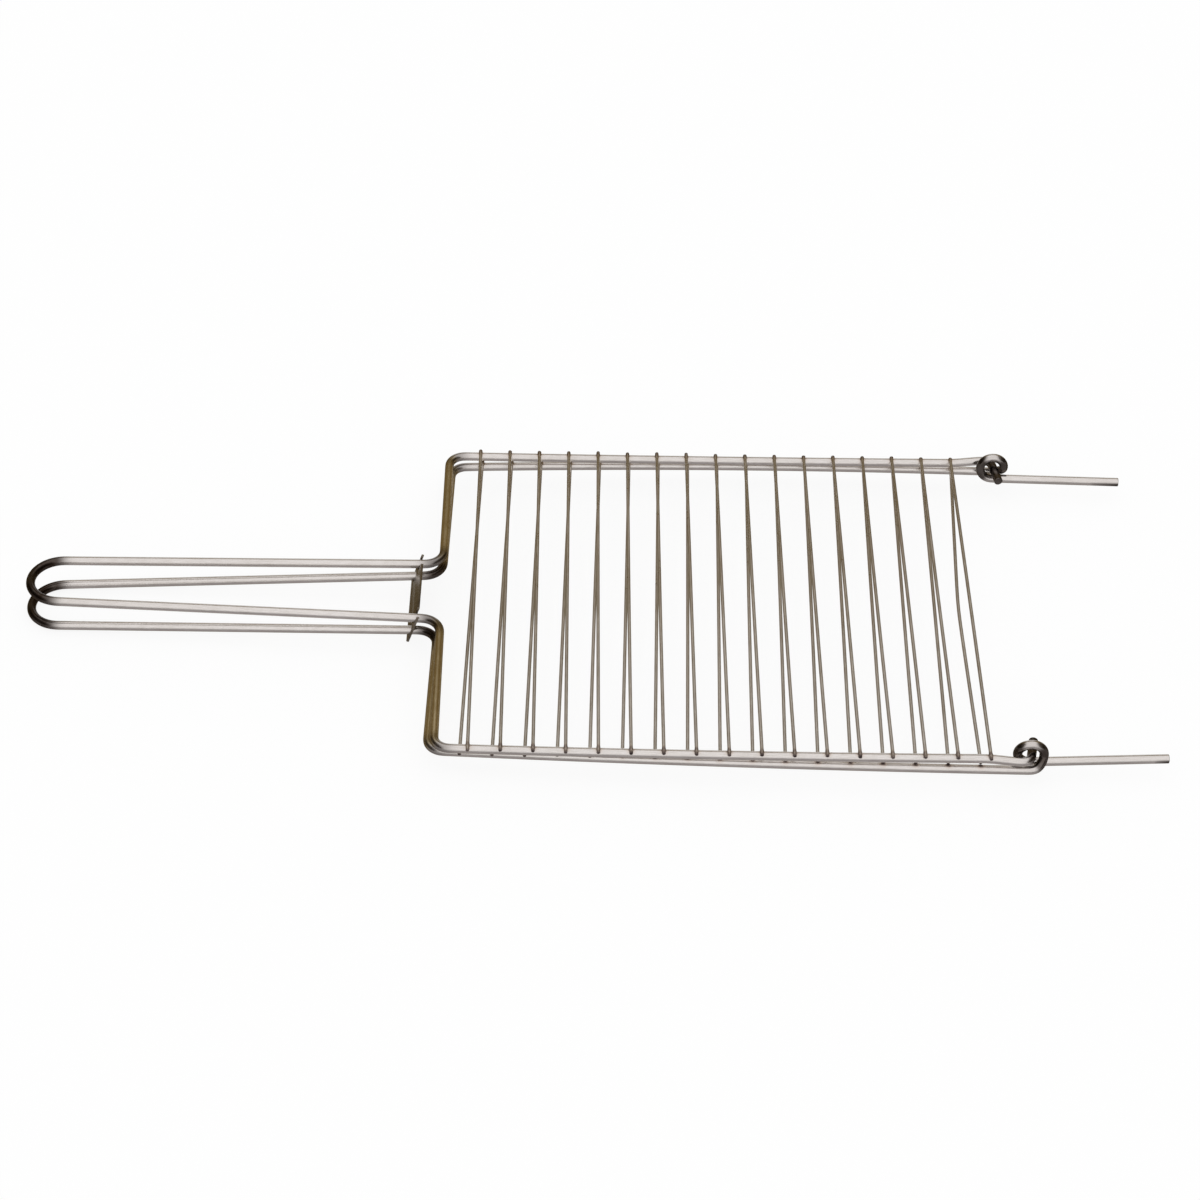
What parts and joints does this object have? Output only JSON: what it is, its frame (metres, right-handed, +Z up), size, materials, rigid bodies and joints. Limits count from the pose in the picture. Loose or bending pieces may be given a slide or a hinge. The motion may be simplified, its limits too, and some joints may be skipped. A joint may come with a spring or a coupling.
{
  "type": "grill basket",
  "caption": "Folding wire grill basket with two hinged bar grids, long looped handles, straight legs and a sliding latch plate at the neck.",
  "frame": {"origin": "centre of the closed basket's bounding box, on its lowest level, which is the underside of the lower handle's round end", "axes": "+X from the handle to the hinge and legs, +Y across the bars' length, +Z up from the lower grid to the upper grid"},
  "size_m": [0.724, 0.3016, 0.0293],
  "materials": {
    "frame_wire": "bright plated drawn wire, lightly streaked",
    "bar_wire": "bright plated thin wire, slightly heat-tinted at the welds",
    "latch_sheet": "bright plated stamped sheet"
  },
  "bodies": {
    "lower_grid": {"lower_frame_wire": "frame_wire", "lower_bar_01": "bar_wire", "lower_bar_02": "bar_wire", "lower_bar_03": "bar_wire", "lower_bar_04": "bar_wire", "lower_bar_05": "bar_wire", "lower_bar_06": "bar_wire", "lower_bar_07": "bar_wire", "lower_bar_08": "bar_wire", "lower_bar_09": "bar_wire", "lower_bar_10": "bar_wire", "lower_bar_11": "bar_wire", "lower_bar_12": "bar_wire", "lower_bar_13": "bar_wire", "lower_bar_14": "bar_wire", "lower_bar_15": "bar_wire", "lower_bar_16": "bar_wire", "lower_bar_17": "bar_wire"},
    "upper_grid": {"upper_frame_wire": "frame_wire", "upper_bar_01": "bar_wire", "upper_bar_02": "bar_wire", "upper_bar_03": "bar_wire", "upper_bar_04": "bar_wire", "upper_bar_05": "bar_wire", "upper_bar_06": "bar_wire", "upper_bar_07": "bar_wire", "upper_bar_08": "bar_wire", "upper_bar_09": "bar_wire", "upper_bar_10": "bar_wire", "upper_bar_11": "bar_wire", "upper_bar_12": "bar_wire", "upper_bar_13": "bar_wire", "upper_bar_14": "bar_wire", "upper_bar_15": "bar_wire", "upper_bar_16": "bar_wire", "upper_bar_17": "bar_wire"},
    "latch": {"latch_plate": "latch_sheet"}
  },
  "joints": [
    {"name": "grid_hinge", "type": "hinge", "parent": "lower_grid", "child": "upper_grid", "pos_m": [0.27635, 0, 0.01831], "axis": [0, 1, 0], "range_deg": [0, 175]},
    {"name": "latch_slide", "type": "slide", "parent": "lower_grid", "child": "latch", "axis": [-0.9995, 0, -0.0301], "range_m": [0, 0.04]}
  ]
}
